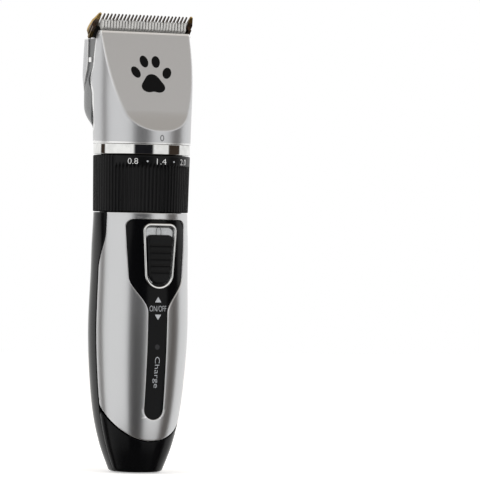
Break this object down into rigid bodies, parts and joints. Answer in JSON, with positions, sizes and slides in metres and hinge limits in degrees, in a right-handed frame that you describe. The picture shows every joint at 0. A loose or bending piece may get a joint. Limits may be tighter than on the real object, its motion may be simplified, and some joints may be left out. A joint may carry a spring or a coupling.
{
  "type": "pet clipper",
  "caption": "Cordless pet clipper: slim barrel handle with slide switch, cutting-length ring, angled head and toothed cutting blades.",
  "frame": {"origin": "centre of the handle's flat base", "axes": "+Z along the handle towards the blades, -Y out of the front with the switch, +X to the right seen from the front"},
  "size_m": [0.0426, 0.0418, 0.1777],
  "materials": {
    "black_plastic": "moulded, glossy",
    "silver_paint": "metallic silver paint",
    "bright_metal": "polished plating",
    "gray_plastic": "satin gray",
    "white_plastic": "moulded",
    "gold_blade": "titanium nitride coat on ground steel",
    "cutter_steel": "ground",
    "steel": "zinc plated",
    "bronze": "sintered",
    "copper": "enamelled windings",
    "board": "solder mask",
    "cell_wrap": "shrink sleeve",
    "wire": "insulation",
    "lens": "smoked"
  },
  "bodies": {
    "handle": {"rear_shell": "black_plastic", "front_shell": "black_plastic", "silver_cover": "silver_paint", "switch_bezel": "bright_metal", "switch_track": "bright_metal", "slide_switch": "gray_plastic", "led_lens": "lens", "charge_led": "white_plastic", "circuit_board": "board", "battery_cell": "cell_wrap", "battery_tabs": "steel", "battery_cradle": "white_plastic", "dc_jack": "black_plastic", "case_screws": "steel", "neck_frame": "black_plastic", "detent_spring": "steel", "ring_collar": "bright_metal", "motor_can": "steel", "motor_magnets": "gray_plastic", "motor_end_cap": "white_plastic", "motor_brushes": "copper", "motor_bushes": "bronze", "motor_seat": "black_plastic", "motor_screws": "steel", "motor_leads": "wire", "head_housing": "silver_paint", "hook_bar": "steel"},
    "switch": {"switch_button": "black_plastic", "switch_lever": "white_plastic"},
    "ring": {"adjust_ring": "black_plastic"},
    "pusher": {"feed_pusher": "white_plastic"},
    "rotor": {"motor_shaft": "steel", "armature": "copper", "commutator": "copper", "eccentric_cam": "white_plastic"},
    "blade_set": {"blade_bracket": "gray_plastic", "rear_plate": "silver_paint", "latch_clips": "white_plastic", "fixed_blade": "gold_blade", "blade_screws": "steel"},
    "carriage": {"feed_carriage": "black_plastic", "blade_spring": "steel"},
    "cutter": {"moving_blade": "cutter_steel", "drive_fork": "black_plastic"}
  },
  "joints": [
    {"name": "switch_slide", "type": "slide", "parent": "handle", "child": "switch", "axis": [0, 0, 1], "range_m": [0, 0.0032]},
    {"name": "ring_turn", "type": "hinge", "parent": "handle", "child": "ring", "pos_m": [0, 0, 0.112], "axis": [0, 0, 1], "range_deg": [-34, 34]},
    {"name": "pusher_lift", "type": "slide", "parent": "handle", "child": "pusher", "axis": [0, 0, 1], "range_m": [-0.00043, 0.00043]},
    {"name": "motor_spin", "type": "hinge", "parent": "handle", "child": "rotor", "pos_m": [0, 0, 0.112], "axis": [0, 0, 1], "continuous": true},
    {"name": "blade_release", "type": "hinge", "parent": "handle", "child": "blade_set", "pos_m": [0, 0.0162, 0.1349], "axis": [-1, 0, 0], "range_deg": [0, 20]},
    {"name": "blade_feed", "type": "slide", "parent": "blade_set", "child": "carriage", "axis": [0, -0.7071, 0.7071], "range_m": [-0.0006, 0.0006]},
    {"name": "blade_stroke", "type": "slide", "parent": "carriage", "child": "cutter", "axis": [1, 0, 0], "range_m": [-0.0012, 0.0012]}
  ],
  "couplings": [
    {"joint": "pusher_lift", "follows": "ring_turn", "m_per_rad": 0.000714},
    {"joint": "blade_feed", "follows": "ring_turn", "m_per_rad": 0.00101}
  ]
}
